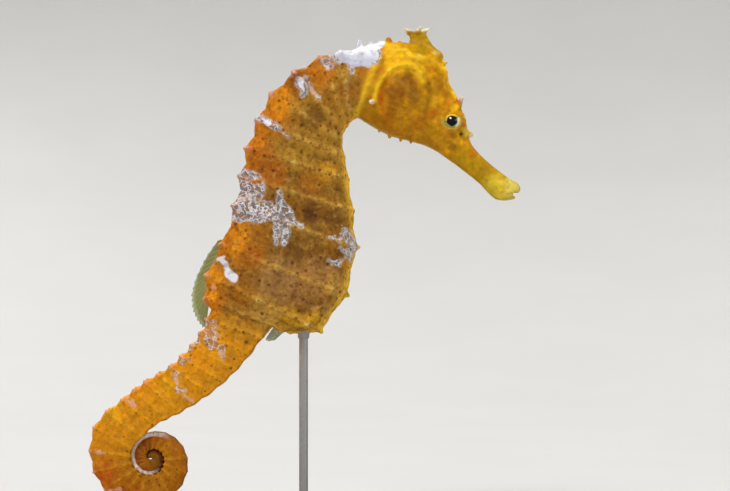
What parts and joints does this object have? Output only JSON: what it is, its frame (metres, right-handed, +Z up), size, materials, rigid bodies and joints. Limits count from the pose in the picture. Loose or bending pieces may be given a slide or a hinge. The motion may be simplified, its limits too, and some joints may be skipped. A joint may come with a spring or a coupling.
{
  "type": "seahorse",
  "caption": "Upright longsnout seahorse with coiled tail, coronet, small fins and bony rings, as a still life-size model on a flat base with slim rods.",
  "frame": {"origin": "centre of the stand base's underside, at the middle of the part's bounding box", "axes": "+X the way the snout points, +Y the animal's left side, +Z up"},
  "size_m": [0.078, 0.034, 0.0926],
  "materials": {
    "skin": "satin, orange to yellow with small dark dots and pale saddles",
    "eye": "glossy, pale green-gold iris round a black pupil",
    "fin": "thin and translucent, green-yellow with fine rays",
    "base": "satin walnut",
    "rod": "brushed"
  },
  "bodies": {
    "root": {"snout": "skin", "head": "skin", "gill_cover_left": "skin", "gill_cover_right": "skin", "coronet": "skin", "eye_left": "eye", "eye_right": "eye", "neck": "skin", "trunk_upper": "skin", "trunk_middle": "skin", "trunk_lower": "skin", "tail_root": "skin", "tail_middle": "skin", "tail_coil_outer": "skin", "tail_coil_middle": "skin", "tail_coil_inner": "skin", "tail_tip": "skin", "dorsal_fin": "fin", "anal_fin": "fin", "pectoral_fin_left": "fin", "pectoral_fin_right": "fin", "stand_base": "base", "stand_rod_body": "rod", "stand_rod_tail": "rod"}
  },
  "joints": []
}
